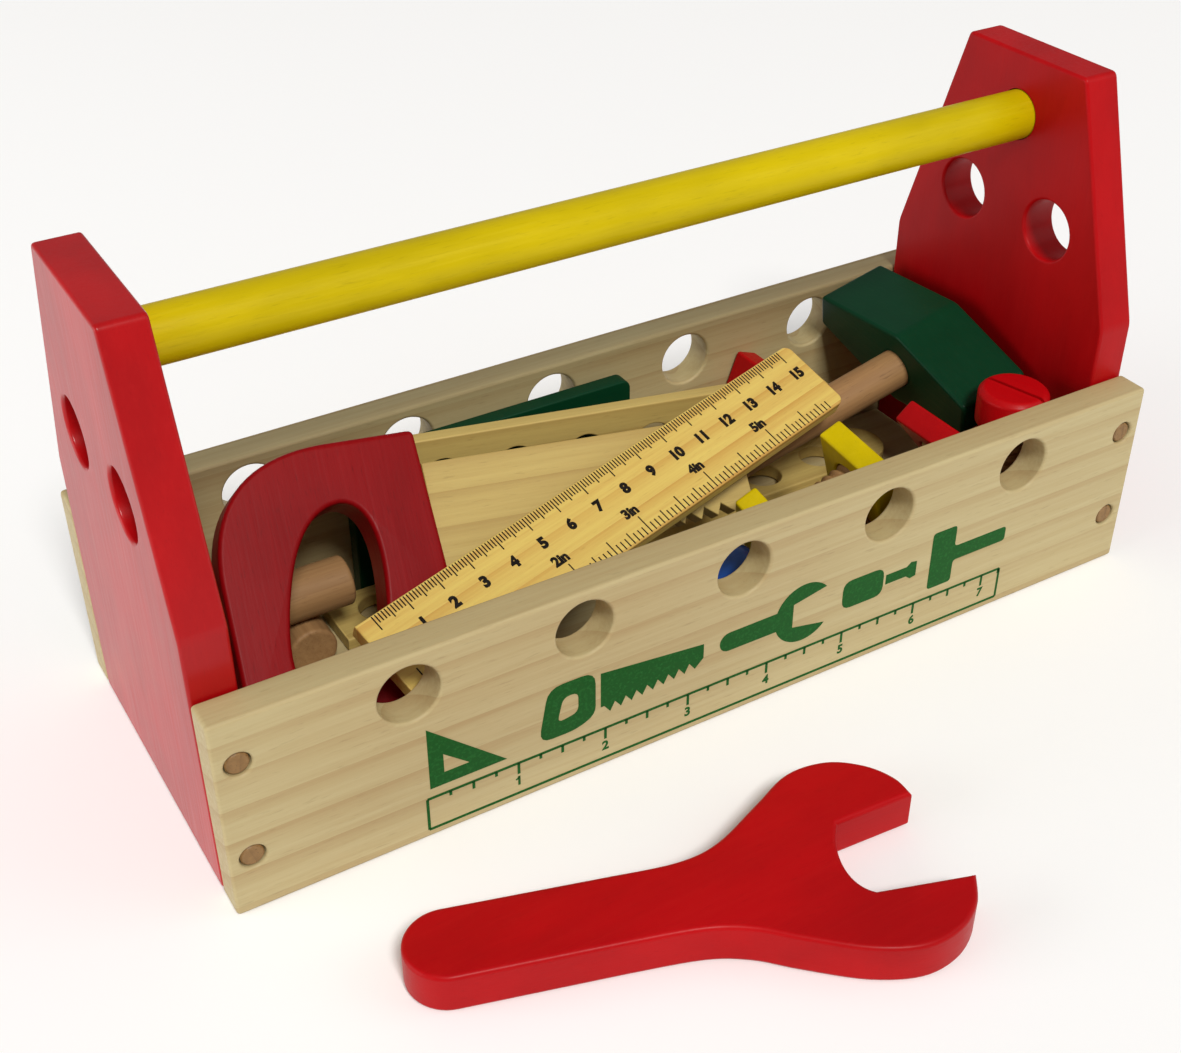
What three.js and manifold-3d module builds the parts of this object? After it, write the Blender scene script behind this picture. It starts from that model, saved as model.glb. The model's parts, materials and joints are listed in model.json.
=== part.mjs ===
// Toy carpenter's toolbox: an open wooden tote with a dowel handle, filled with wooden tools,
// and the open-ended wrench that lies in front of it.
// Millimetres, +Z up. The origin is the centre of the box's underside. +X runs along the box
// to the right, +Y to its back.
import * as THREE from "three";
import { mergeVertices } from "three/addons/utils/BufferGeometryUtils.js";
import Module from "manifold-3d";

const wasm = await Module();
wasm.setup();

// ---- Driving dimensions ----
const GAP = 0.3; // clearance between neighbouring pieces
const EDGE = 0.8; // chamfer along the sanded edges of planks
const BOX = { length: 280, width: 108, height: 141 };
const SIDE = { height: 58.2, thick: 9.5, holes: 5, pitch: 47, firstHoleX: -92.2, holeZ: 46.7, holeR: 8.1 };
const END = { thick: 11.5, shoulderZ: 74.6, topWidth: 46, holeR: 8.75, holeY: 17.5, holeZ: 95 };
const BASE_THICK = 5;
const DOWEL = { r: 6.9, z: 123.7, socket: 8 };
const PIN = { r: 3, length: 21, recess: 0.6, x: 134, z: [16.5, 45] };

const ROD_R = 6.2; // threaded rods of the bolts
const THREAD = { pitch: 2.8, depth: 0.8 };
const NUT = { size: 24, thick: 7.4 };
const BOLT_HEAD = { r: 10.2, thick: 11 };

const INNER_Y = BOX.width / 2 - SIDE.thick; // inner faces of the side panels
const INNER_X = BOX.length / 2 - END.thick; // inner faces of the end panels

// ---- Colours ----
const RED = 0xc4101a;
const YELLOW = 0xe2d013;
const GREEN = 0x124a2c;
const BLUE = 0x1b3f94;
const PINE = 0xead9a8;
const BEECH = 0xd9bd94;
const RULER_WOOD = 0xe3bc78;

const toolbox = new THREE.Group();

// ---- Geometry helpers ----
function deg(angle) {
  return THREE.MathUtils.degToRad(angle);
}

function solid(geometry) {
  const plain = geometry.clone();
  plain.deleteAttribute("normal");
  plain.deleteAttribute("uv");
  const merged = mergeVertices(plain, 1e-4);
  return new wasm.Manifold(
    new wasm.Mesh({
      numProp: 3,
      vertProperties: new Float32Array(merged.attributes.position.array),
      triVerts: new Uint32Array(merged.index.array),
    }),
  );
}

function toGeometry(manifold) {
  const mesh = manifold.getMesh();
  const geometry = new THREE.BufferGeometry();
  const places = new Float32Array(mesh.vertProperties);
  geometry.setAttribute("position", new THREE.BufferAttribute(places, 3));
  geometry.setIndex(new THREE.BufferAttribute(new Uint32Array(mesh.triVerts), 1));
  geometry.computeVertexNormals();
  return geometry;
}

function cut(geometry, tools) {
  let body = solid(geometry);
  for (const tool of tools) body = body.subtract(solid(tool));
  return toGeometry(body);
}

// A plank of the given outline, lying in XY from z = 0 to its thickness, with chamfered edges.
function plank(outline, thick, chamfer = EDGE, curveSegments = 10) {
  const geometry = new THREE.ExtrudeGeometry(outline, {
    depth: thick - 2 * chamfer,
    bevelEnabled: true,
    bevelThickness: chamfer,
    bevelSize: chamfer,
    bevelOffset: -chamfer,
    bevelSegments: 1,
    curveSegments,
  });
  return geometry.translate(0, 0, chamfer);
}

function rectangle(x0, y0, x1, y1) {
  return new THREE.Shape(points([[x0, y0], [x1, y0], [x1, y1], [x0, y1]]));
}

function points(list) {
  return list.map(([x, y]) => new THREE.Vector2(x, y));
}

function roundHole(x, y, r) {
  return new THREE.Path().absarc(x, y, r, 0, 2 * Math.PI, true);
}

// A turned piece: profile points are [radius, height] pairs, starting and ending on the axis.
function turned(profile, segments = 28) {
  return new THREE.LatheGeometry(points(profile), segments).rotateX(Math.PI / 2);
}

// A round rod along +Z from z0 to z1, with chamfered ends.
function rod(r, z0, z1, chamfer = 0.5, segments = 28) {
  const side = [[r - chamfer, z0], [r, z0 + chamfer], [r, z1 - chamfer], [r - chamfer, z1]];
  return turned([[0, z0], ...side, [0, z1]], segments);
}

// A rod with round thread ridges along +Z from z0 to z1.
function threadedRod(z0, z1) {
  const profile = [[0, z0], [ROD_R - THREAD.depth, z0]];
  const turns = Math.floor((z1 - z0) / THREAD.pitch);
  for (let i = 0; i < turns; i++) {
    const z = z0 + i * THREAD.pitch;
    profile.push([ROD_R, z + THREAD.pitch / 2], [ROD_R - THREAD.depth, z + THREAD.pitch]);
  }
  if (z0 + turns * THREAD.pitch < z1 - 0.01) profile.push([ROD_R - THREAD.depth, z1]);
  profile.push([0, z1]);
  return turned(profile, 16);
}

function add(parent, name, geometry, color, roughness = 0.45) {
  const material = new THREE.MeshStandardMaterial({ color, roughness, metalness: 0 });
  const mesh = new THREE.Mesh(geometry, material);
  mesh.name = name;
  parent.add(mesh);
  return mesh;
}

// A group at a place, turned by yaw about Z, then pitch about Y, then roll about X (degrees).
function place(x, y, z, yaw = 0, pitch = 0, roll = 0) {
  const group = new THREE.Group();
  group.position.set(x, y, z);
  group.rotation.set(deg(roll), deg(pitch), deg(yaw), "ZYX");
  toolbox.add(group);
  return group;
}

// ---- The box ----
// Calls make(x, z, end, level) for the two fixing pins at each end of a side panel.
function eachPin(make) {
  for (const [end, side] of [["left", -1], ["right", 1]]) {
    make(side * PIN.x, PIN.z[0], end, "lower");
    make(side * PIN.x, PIN.z[1], end, "upper");
  }
}

// A drilled hole for a fixing pin, along Y from y0 to y1.
function pinHole(x, z, y0, y1) {
  const r = PIN.r + GAP;
  return new THREE.CylinderGeometry(r, r, y1 - y0, 16).translate(x, (y0 + y1) / 2, z);
}

// The front panel, or the back one, whose holes face those of the front.
function sidePanel(isBack) {
  const half = BOX.length / 2;
  const outline = rectangle(-half, 0, half, SIDE.height);
  for (let i = 0; i < SIDE.holes; i++) {
    const x = SIDE.firstHoleX + i * SIDE.pitch;
    outline.holes.push(roundHole(isBack ? -x : x, SIDE.holeZ, SIDE.holeR));
  }
  const panel = plank(outline, SIDE.thick, EDGE, 9).rotateX(Math.PI / 2).translate(0, -INNER_Y, 0);
  const drills = [];
  eachPin((x, z) => drills.push(pinHole(x, z, -BOX.width / 2 - 1, -INNER_Y + 1)));
  return cut(panel, drills).rotateZ(isBack ? Math.PI : 0);
}

// The right end panel. Turned half round about Z it is the left one.
function endPanel() {
  const half = INNER_Y - GAP;
  const top = END.topWidth / 2;
  const outline = new THREE.Shape();
  outline.moveTo(-half, 0).lineTo(half, 0).lineTo(half, END.shoulderZ);
  outline.lineTo(top, BOX.height).lineTo(-top, BOX.height).lineTo(-half, END.shoulderZ);
  for (const y of [-END.holeY, END.holeY]) outline.holes.push(roundHole(y, END.holeZ, END.holeR));
  const panel = plank(outline, END.thick, EDGE, 9);
  panel.rotateX(Math.PI / 2).rotateZ(Math.PI / 2).translate(INNER_X, 0, 0);
  const r = DOWEL.r + GAP;
  const socket = new THREE.CylinderGeometry(r, r, 2 * DOWEL.socket, 32);
  const drills = [socket.rotateZ(Math.PI / 2).translate(INNER_X, 0, DOWEL.z)];
  const pinEnd = BOX.width / 2 - PIN.recess - PIN.length - GAP;
  for (const z of PIN.z) {
    drills.push(pinHole(PIN.x, z, pinEnd, INNER_Y + 1), pinHole(PIN.x, z, -INNER_Y - 1, -pinEnd));
  }
  return cut(panel, drills);
}

function buildBox() {
  add(toolbox, "side_panel_front", sidePanel(false), PINE, 0.5);
  add(toolbox, "side_panel_back", sidePanel(true), PINE, 0.5);
  add(toolbox, "end_panel_left", endPanel().rotateZ(Math.PI), RED);
  add(toolbox, "end_panel_right", endPanel(), RED);
  const base = rectangle(-INNER_X + GAP, -INNER_Y + GAP, INNER_X - GAP, INNER_Y - GAP);
  add(toolbox, "base_panel", plank(base, BASE_THICK, 0.4), PINE, 0.6);
  const reach = INNER_X + DOWEL.socket - GAP;
  const handle = rod(DOWEL.r, -reach, reach, 0.6, 40).rotateY(Math.PI / 2);
  add(toolbox, "handle_dowel", handle.translate(0, 0, DOWEL.z), YELLOW, 0.4);
  const tip = PIN.recess - BOX.width / 2;
  eachPin((x, z, end, level) => {
    const front = rod(PIN.r, -tip - PIN.length, -tip, 0.4, 16).rotateX(Math.PI / 2).translate(x, 0, z);
    const back = rod(PIN.r, -tip - PIN.length, -tip, 0.4, 16).rotateX(-Math.PI / 2).translate(x, 0, z);
    add(toolbox, `pin_front_${end}_${level}`, front, BEECH, 0.6);
    add(toolbox, `pin_back_${end}_${level}`, back, BEECH, 0.6);
  });
}

// ---- The tools in the box ----
// Handsaw, leaning back. In its own frame the outline lies in XY: u runs right along the
// blade from the handle's top corner, and v runs down the handle, drawn as -Y.
const SAW = { x: -55.3, y: 18, z: 68.7, lean: 44, tilt: -8, thick: 12 };
const BLADE = { thick: 5, set: 3.5, top: 8.6, depth: 33, tipDepth: 27, root: 1.2, tip: 96 };
const TEETH = { count: 16, height: 3 };

function sawHandleOutline() {
  const s = new THREE.Shape();
  s.moveTo(-1.5, 0).quadraticCurveTo(0, 0, 0.3, -1.6).lineTo(1.4, -44);
  s.bezierCurveTo(1.6, -53, -9, -55, -15, -59).bezierCurveTo(-19, -62, -17, -66, -14.5, -69);
  s.bezierCurveTo(-12, -73, -15, -77.5, -21, -78).lineTo(-48, -78).quadraticCurveTo(-56.5, -77, -57, -68);
  s.lineTo(-57, -32).bezierCurveTo(-56.5, -12, -46, -1, -25, -0.2).lineTo(-1.5, 0);
  const grip = new THREE.Path();
  grip.moveTo(-23.2, -16.2).bezierCurveTo(-32, -16.6, -37, -26, -40, -36);
  grip.bezierCurveTo(-44, -49, -46, -64, -35.5, -66).bezierCurveTo(-26, -66.5, -19, -56, -16.8, -44);
  grip.bezierCurveTo(-14.5, -31, -14.5, -17, -23.2, -16.2);
  s.holes.push(grip);
  return s;
}

function sawBladeOutline() {
  const s = new THREE.Shape();
  const bottom = BLADE.top + BLADE.depth;
  const drop = (BLADE.depth - BLADE.tipDepth) / (BLADE.tip - BLADE.root);
  s.moveTo(BLADE.root + GAP, -BLADE.top).lineTo(BLADE.root + GAP, -bottom);
  const pitch = (BLADE.tip - BLADE.root - 8) / TEETH.count;
  for (let i = 0; i < TEETH.count; i++) {
    const u = BLADE.root + 3 + i * pitch;
    const v = bottom - (u - BLADE.root) * drop;
    s.lineTo(u, -v + TEETH.height).lineTo(u + pitch * 0.7, -v);
  }
  s.lineTo(BLADE.tip, -bottom + (BLADE.tip - BLADE.root) * drop + TEETH.height);
  s.lineTo(BLADE.tip, -BLADE.top - 3).lineTo(BLADE.tip - 4, -BLADE.top);
  return s;
}

function buildSaw() {
  const saw = place(SAW.x, SAW.y, SAW.z, 0, 0, 90 - SAW.lean);
  const face = new THREE.Group();
  face.rotation.z = deg(SAW.tilt);
  saw.add(face);
  const handle = plank(sawHandleOutline(), SAW.thick, 1, 8).translate(0, 0, -SAW.thick);
  add(face, "saw_handle", handle, RED);
  const blade = plank(sawBladeOutline(), BLADE.thick, 0.5).translate(0, 0, -BLADE.set - BLADE.thick);
  add(face, "saw_blade", blade, PINE, 0.55);
}

// Hammer. Its own frame has the handle along -X and the head's length along Y.
const HAMMER = { x: 100.7, y: 7.6, z: 46.2, yaw: 1, pitch: -12.6, roll: 8 };
const HEAD = { width: 24, back: 35.5, front: 30.4, middle: 13.2, end: 5.6 };
const HAMMER_HANDLE = { r: 6, length: 146, socket: 18 };

function buildHammer() {
  const hammer = place(HAMMER.x, HAMMER.y, HAMMER.z, HAMMER.yaw, HAMMER.pitch, HAMMER.roll);
  const { front, back, middle, end } = HEAD;
  const outline = new THREE.Shape(points([[-front, -end], [0, -middle], [back, -end], [back, end],
    [0, middle], [-front, end]]));
  const head = plank(outline, HEAD.width, 1).rotateX(Math.PI / 2).rotateZ(Math.PI / 2);
  const r = HAMMER_HANDLE.r;
  const bore = new THREE.CylinderGeometry(r + GAP, r + GAP, 2 * HAMMER_HANDLE.socket, 28);
  add(hammer, "hammer_head", cut(head, [bore.rotateZ(Math.PI / 2)]), GREEN, 0.4);
  const handle = rod(r, -HAMMER_HANDLE.length, HAMMER_HANDLE.socket - GAP, 0.8).rotateY(Math.PI / 2);
  add(hammer, "hammer_handle", handle, BEECH, 0.6);
}

// Ruler, lying face up across the tools. Its own frame starts at the lower left corner.
const RULER = { x: -86.3, y: -44.1, z: 36.2, length: 160, width: 24, thick: 5, corner: 2.5 };
const RULER_U = new THREE.Vector3(0.969, 0.225, 0.105).normalize();
const RULER_V = new THREE.Vector3(-0.248, 0.881, 0.403);

function buildRuler() {
  const up = new THREE.Vector3().crossVectors(RULER_U, RULER_V).normalize();
  const across = new THREE.Vector3().crossVectors(up, RULER_U);
  const ruler = place(RULER.x, RULER.y, RULER.z);
  ruler.quaternion.setFromRotationMatrix(new THREE.Matrix4().makeBasis(RULER_U, across, up));
  const c = RULER.corner;
  const s = new THREE.Shape();
  s.moveTo(0, 0).lineTo(RULER.length - c, 0).absarc(RULER.length - c, c, c, -Math.PI / 2, 0);
  s.lineTo(RULER.length, RULER.width - c);
  s.absarc(RULER.length - c, RULER.width - c, c, 0, Math.PI / 2).lineTo(0, RULER.width);
  add(ruler, "ruler", plank(s, RULER.thick, 0.5, 4).translate(0, 0, -RULER.thick), RULER_WOOD, 0.5);
}

function squareNut(boreR, size = NUT.size) {
  const half = size / 2;
  const outline = rectangle(-half, -half, half, half);
  outline.holes.push(roundHole(0, 0, boreR));
  return plank(outline, NUT.thick, 0.6, 7).translate(0, 0, -NUT.thick / 2);
}

// Slotted round bolt head on +Z, with its underside at z = 0.
function slottedHead() {
  const { r, thick } = BOLT_HEAD;
  const head = turned([[0, 0], [r, 0], [r, thick - 1.2], [r - 1.2, thick], [0, thick]], 32);
  return cut(head, [new THREE.BoxGeometry(3 * r, 1.2, 2.4).translate(0, 0, thick)]);
}

// Bolt standing upright in the front right corner.
const CORNER_BOLT = { x: 109, y: -33.9, top: 57.5, slot: -75 };

function buildCornerBolt() {
  const seat = CORNER_BOLT.top - BOLT_HEAD.thick;
  const bolt = place(CORNER_BOLT.x, CORNER_BOLT.y, seat, CORNER_BOLT.slot);
  add(bolt, "corner_bolt_head", slottedHead(), RED);
  add(bolt, "corner_bolt_rod", threadedRod(BASE_THICK + GAP - seat, -GAP), BEECH, 0.6);
}

// Bolts that lie tilted, with their axis along a turned Z: the nut is at the origin.
const LONG_BOLT = { x: 90, y: -29.5, z: 41.2, rise: 39, headAt: -34, end: 4 };
const YELLOW_BOLT = { x: 59.8, y: -28.3, z: 41, rise: 22.2, headAt: -31.7, end: 4 };
const YELLOW_TURNS = { nut: 11, head: 22 }; // how far each square is turned about the rod

function boltGroup({ x, y, z, rise }) {
  return place(x, y, z, 0, 90 - rise);
}

function buildLongBolt() {
  const bolt = boltGroup(LONG_BOLT);
  const head = slottedHead().rotateX(Math.PI).translate(0, 0, LONG_BOLT.headAt);
  add(bolt, "long_bolt_head", head, RED);
  add(bolt, "long_bolt_rod", threadedRod(LONG_BOLT.headAt + GAP, LONG_BOLT.end), BEECH, 0.6);
  add(bolt, "red_nut", squareNut(ROD_R + GAP), RED);
}

function buildYellowBolt() {
  const bolt = boltGroup(YELLOW_BOLT);
  add(bolt, "yellow_nut", squareNut(ROD_R + GAP).rotateZ(deg(YELLOW_TURNS.nut)), YELLOW);
  const plate = squareNut(ROD_R + GAP).rotateZ(deg(YELLOW_TURNS.head)).translate(0, 0, YELLOW_BOLT.headAt);
  add(bolt, "yellow_bolt_head", plate, YELLOW);
  const start = YELLOW_BOLT.headAt - NUT.thick / 2;
  add(bolt, "yellow_bolt_rod", threadedRod(start, YELLOW_BOLT.end), BEECH, 0.6);
}

// Screwdriver lying behind the front panel, its shaft down to the left.
const DRIVER = { x: -1, y: -33, z: 22.5, dip: 12, r: 10, length: 46, shaftR: 4, shaftLength: 40 };

function buildScrewdriver() {
  const driver = place(DRIVER.x, DRIVER.y, DRIVER.z, 180, DRIVER.dip);
  const half = DRIVER.length / 2;
  const handle = turned([[0, -half], [6, -half], [DRIVER.r, -half + 4], [DRIVER.r, half - 14],
    [7.4, half - 8], [7.4, half - 4], [6, half], [0, half]], 24).rotateY(Math.PI / 2);
  add(driver, "screwdriver_handle", handle, BLUE, 0.25);
  const shaft = rod(DRIVER.shaftR, half + GAP, half + DRIVER.shaftLength, 0.8, 16);
  add(driver, "screwdriver_shaft", shaft.rotateY(Math.PI / 2), BEECH, 0.6);
}

// Perforated strips and plates along the back of the box.
const STRIP = { width: 26, thick: 4.5, holeR: 6, pitch: 22 };
const UPRIGHT_STRIP = { x: -60, y: 32, topZ: 59.5, length: 148, yaw: -4.9, drop: 5.4, holes: 6 };
const FLOOR_STRIPS = [
  { name: "perforated_strip_right", x: 8, y: 14.6, length: 104, width: 20, holes: 4 },
  { name: "perforated_strip_left", x: -80, y: 15.6, length: 82, width: 20, holes: 3 },
];
const GREEN_PLATE = { x: -67, y: 38.3, top: 51.6, length: 90.5, thick: 5.2, corner: 3 };
const BACK_NUT = { x: 67.6, y: 33, z: 33, pitch: 110, size: 22 };

function stripOutline(length, width, holes, firstHole) {
  const s = new THREE.Shape();
  s.moveTo(0, -width).lineTo(length - width / 2, -width);
  s.absarc(length - width / 2, -width / 2, width / 2, -Math.PI / 2, Math.PI / 2).lineTo(0, 0);
  for (let i = 0; i < holes; i++) {
    s.holes.push(roundHole(firstHole + i * STRIP.pitch, -width / 2, STRIP.holeR));
  }
  return s;
}

function buildUprightStrip() {
  const { x, y, topZ, length, holes, drop, yaw } = UPRIGHT_STRIP;
  const strip = plank(stripOutline(length, STRIP.width, holes, 18), STRIP.thick, 0.6, 6);
  add(place(x, y, topZ, yaw, drop), "perforated_strip_upright", strip.rotateX(Math.PI / 2), PINE, 0.55);
}

function buildFloorStrips() {
  for (const { name, x, y, length, width, holes } of FLOOR_STRIPS) {
    const strip = plank(stripOutline(length, width, holes, 14), STRIP.thick, 0.6, 5);
    add(place(x, y + width, BASE_THICK + GAP), name, strip, PINE, 0.55);
  }
}

function buildGreenPlate() {
  const { x, y, top, length, thick, corner } = GREEN_PLATE;
  const height = top - BASE_THICK - GAP;
  const s = new THREE.Shape();
  s.moveTo(0, -height).lineTo(length, -height).lineTo(length, -corner);
  s.absarc(length - corner, -corner, corner, 0, Math.PI / 2).lineTo(0, 0);
  const plate = plank(s, thick, 0.6, 5).rotateX(Math.PI / 2);
  add(place(x, y + thick / 2, top), "green_plate", plate, GREEN);
}

function buildBackNut() {
  const { x, y, z, pitch, size } = BACK_NUT;
  add(place(x, y, z, 0, pitch), "back_nut", squareNut(ROD_R + GAP, size), RED);
}

// Plain round pegs at the left end of the box.
const LONG_PEG = { x: -102, y: 20, z: 26.9, r: 7, length: 50 };
const SHORT_PEG = { x: -91.2, y: 27.2, z: 12.6, r: 7, length: 30 };

function buildPegs() {
  const long = place(LONG_PEG.x, LONG_PEG.y, LONG_PEG.z, 0, 90);
  add(long, "long_peg", rod(LONG_PEG.r, -LONG_PEG.length / 2, LONG_PEG.length / 2, 0.8, 24), BEECH, 0.6);
  const short = place(SHORT_PEG.x, SHORT_PEG.y, SHORT_PEG.z);
  const peg = rod(SHORT_PEG.r, -SHORT_PEG.length / 2, SHORT_PEG.length / 2, 0.8, 24);
  add(short, "short_peg", peg.rotateX(Math.PI / 2), BEECH, 0.6);
}

// ---- The wrench in front of the box ----
// Own frame: the middle of the handle's left end is at the origin, with the jaw towards +X.
const WRENCH = { x: -105.9, y: -94.7, turn: -15.5, thick: 11.2, handle: 10.4 };

function wrenchOutline() {
  const h = WRENCH.handle;
  const s = new THREE.Shape();
  s.moveTo(0.6, h).absarc(0.6, 0, h, Math.PI / 2, 1.5 * Math.PI, false).lineTo(40, -11);
  s.splineThru(points([[57, -11.8], [67.4, -14.7], [77.2, -20.2], [90.8, -26.9], [102.9, -29.3],
    [112.4, -26.5], [119, -20.5], [122.6, -12.5]]));
  s.lineTo(98.2, -11.3).bezierCurveTo(93, -8, 92.5, 2, 97.8, 11.2).lineTo(119.2, 15.7);
  s.splineThru(points([[117.5, 22], [112, 28.2], [103, 32], [92, 30.4], [81, 22.4], [68, 13],
    [57, 9.6], [40, 9.6]]));
  s.lineTo(0.6, h);
  return s;
}

function buildWrench() {
  const wrench = place(WRENCH.x, WRENCH.y, 0, WRENCH.turn);
  add(wrench, "wrench", plank(wrenchOutline(), WRENCH.thick, 1, 4), RED);
}

buildBox();
buildSaw();
buildHammer();
buildRuler();
buildCornerBolt();
buildLongBolt();
buildYellowBolt();
buildScrewdriver();
buildUprightStrip();
buildFloorStrips();
buildGreenPlate();
buildBackNut();
buildPegs();
buildWrench();

export default toolbox;
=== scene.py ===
"""Looks for the toy carpenter's toolbox: rounded wooden pieces, real threads, printed scales
and lacquered or bare wood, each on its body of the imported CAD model.

Shapes are drawn in millimetres in each piece's own frame, and become metres in mesh_of().
"""

import json
from math import cos, pi, radians, sin

import bpy
from mathutils import Matrix, Vector
from mathutils.geometry import tessellate_polygon

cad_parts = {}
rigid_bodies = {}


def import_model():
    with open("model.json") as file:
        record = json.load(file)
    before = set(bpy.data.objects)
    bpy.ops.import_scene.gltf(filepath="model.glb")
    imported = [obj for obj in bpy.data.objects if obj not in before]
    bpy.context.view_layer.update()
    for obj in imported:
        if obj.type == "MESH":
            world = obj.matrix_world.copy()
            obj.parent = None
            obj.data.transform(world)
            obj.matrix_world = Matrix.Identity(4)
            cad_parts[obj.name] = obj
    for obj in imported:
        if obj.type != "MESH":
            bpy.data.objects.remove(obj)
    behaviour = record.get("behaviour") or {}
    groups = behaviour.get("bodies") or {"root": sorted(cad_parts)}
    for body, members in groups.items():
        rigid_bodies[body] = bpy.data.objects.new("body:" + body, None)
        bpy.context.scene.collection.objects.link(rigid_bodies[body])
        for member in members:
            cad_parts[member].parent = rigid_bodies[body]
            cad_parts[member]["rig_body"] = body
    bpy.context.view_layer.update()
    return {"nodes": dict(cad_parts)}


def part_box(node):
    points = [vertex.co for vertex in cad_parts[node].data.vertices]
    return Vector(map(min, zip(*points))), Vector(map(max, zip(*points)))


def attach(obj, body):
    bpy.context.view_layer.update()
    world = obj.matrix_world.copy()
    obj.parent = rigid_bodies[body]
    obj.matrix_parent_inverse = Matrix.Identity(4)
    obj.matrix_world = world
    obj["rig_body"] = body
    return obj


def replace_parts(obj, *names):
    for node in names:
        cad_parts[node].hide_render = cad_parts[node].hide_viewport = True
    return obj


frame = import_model()

MM = 0.001

# ---- Driving dimensions, in millimetres ----
GAP = 0.3
SIDE = {"thick": 9.5, "height": 58.2, "first_hole": -92.2, "holes": 5, "pitch": 47, "hole_z": 46.7,
        "hole_r": 8.1}
END = {"thick": 11.5, "shoulder_z": 74.6, "top": 46, "hole_r": 8.75, "hole_y": 17.5, "hole_z": 95}
PIN = {"r": 3, "x": 134, "z": (16.5, 45), "depth": 12}
DOWEL_Z = 123.7
ROD = {"r": 6.2, "pitch": 2.8, "depth": 0.85}
NUT = {"size": 24, "thick": 7.4}
BACK_NUT_SIZE = 22
BOLT_HEAD = {"r": 10.2, "thick": 11, "slot": 1.2, "slot_depth": 2.4}
PEG_R = 7
STRIP = {"width": 26, "thick": 4.5, "hole_r": 6, "pitch": 22}

lo, hi = (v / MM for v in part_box("side_panel_front"))
HALF_LENGTH = hi.x
HALF_WIDTH = -lo.y
INNER_Y = HALF_WIDTH - SIDE["thick"]
INNER_X = HALF_LENGTH - END["thick"]
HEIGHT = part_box("end_panel_left")[1].z / MM
BASE_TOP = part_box("base_panel")[1].z / MM


# ---- Frames ----
def at(x, y, z, yaw=0, pitch=0, roll=0):
    """A frame at a point in mm, turned by yaw about Z, then pitch about Y, then roll about X."""
    turn = Matrix.Rotation(radians(yaw), 4, "Z") @ Matrix.Rotation(radians(pitch), 4, "Y")
    return Matrix.Translation(Vector((x, y, z)) * MM) @ turn @ Matrix.Rotation(radians(roll), 4, "X")


HALF_TURN = Matrix.Rotation(pi, 4, "Z")
FRONT_PANEL = at(0, -INNER_Y, 0, roll=90)  # outlines in x and z, thickness towards the front
RIGHT_PANEL = at(INNER_X, 0, 0, yaw=90, roll=90)  # outlines in y and z, thickness towards +X
SAW = at(-55.3, 18, 68.7, roll=46) @ Matrix.Rotation(radians(-8), 4, "Z")
HAMMER = at(100.7, 7.6, 46.2, yaw=1, pitch=-12.6, roll=8)
CORNER_SEAT = 46.5  # height of the underside of the corner bolt's head
CORNER_BOLT = at(109, -33.9, CORNER_SEAT, yaw=-75)
LONG_BOLT = at(90, -29.5, 41.2, pitch=90 - 39)
YELLOW_BOLT = at(59.8, -28.3, 41, pitch=90 - 22.2)
DRIVER = at(-1, -33, 22.5, yaw=180, pitch=90 + 12)
UPRIGHT_STRIP = at(-60, 32, 59.5, yaw=-4.9, pitch=5.4, roll=90)
BACK_NUT = at(67.6, 33, 33, pitch=110)
LONG_PEG = at(-102, 20, 26.9, pitch=90)
SHORT_PEG = at(-91.2, 27.2, 12.6, roll=90)
WRENCH = at(-105.9, -94.7, 0, yaw=-15.5)


def ruler_frame():
    """The frame of the ruler: its lower left corner, with u along it and v across it."""
    along = Vector((0.969, 0.225, 0.105)).normalized()
    up = along.cross(Vector((-0.248, 0.881, 0.403))).normalized()
    turn = Matrix((along, up.cross(along), up)).transposed().to_4x4()
    return Matrix.Translation(Vector((-86.3, -44.1, 36.2)) * MM) @ turn


RULER = ruler_frame()


# ---- Outlines ----
def arc(x, y, r, start, end, steps=10):
    """Points on an arc from one angle to another, in degrees."""
    angles = [radians(start + (end - start) * i / steps) for i in range(steps + 1)]
    return [(x + r * cos(a), y + r * sin(a)) for a in angles]


def circle(x, y, r, steps=48):
    return arc(x, y, r, 0, 360, steps)[:-1]


def rectangle(x0, y0, x1, y1):
    return [(x0, y0), (x1, y0), (x1, y1), (x0, y1)]


def bezier(p0, p1, p2, p3, steps=14):
    """Points on a cubic curve, without its first one."""
    out = []
    for i in range(1, steps + 1):
        t = i / steps
        w = ((1 - t) ** 3, 3 * t * (1 - t) ** 2, 3 * t * t * (1 - t), t**3)
        out.append(tuple(sum(k * p[j] for k, p in zip(w, (p0, p1, p2, p3))) for j in (0, 1)))
    return out


def spline(points, steps=6):
    """A smooth curve through the points, without its first one."""
    out = []
    for i in range(len(points) - 1):
        p0, p1, p2 = points[max(i - 1, 0)], points[i], points[i + 1]
        p3 = points[min(i + 2, len(points) - 1)]
        a = tuple(p1[j] + (p2[j] - p0[j]) / 6 for j in (0, 1))
        b = tuple(p2[j] - (p3[j] - p1[j]) / 6 for j in (0, 1))
        out += bezier(p1, a, b, p2, steps)
    return out


def softened(points, radius, steps=4):
    """A closed outline with its corners rounded off."""
    out = []
    for i, p in enumerate(points):
        p, a, b = Vector(p), Vector(points[i - 1]), Vector(points[(i + 1) % len(points)])
        cut = min(radius, (a - p).length * 0.45, (b - p).length * 0.45)
        start, end = p + (a - p).normalized() * cut, p + (b - p).normalized() * cut
        for k in range(steps + 1):
            t = k / steps
            out.append(tuple(start * (1 - t) ** 2 + p * 2 * t * (1 - t) + end * t * t))
    return out


def signed_area(points):
    following = points[1:] + points[:1]
    return sum(a[0] * b[1] - b[0] * a[1] for a, b in zip(points, following)) / 2


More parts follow.
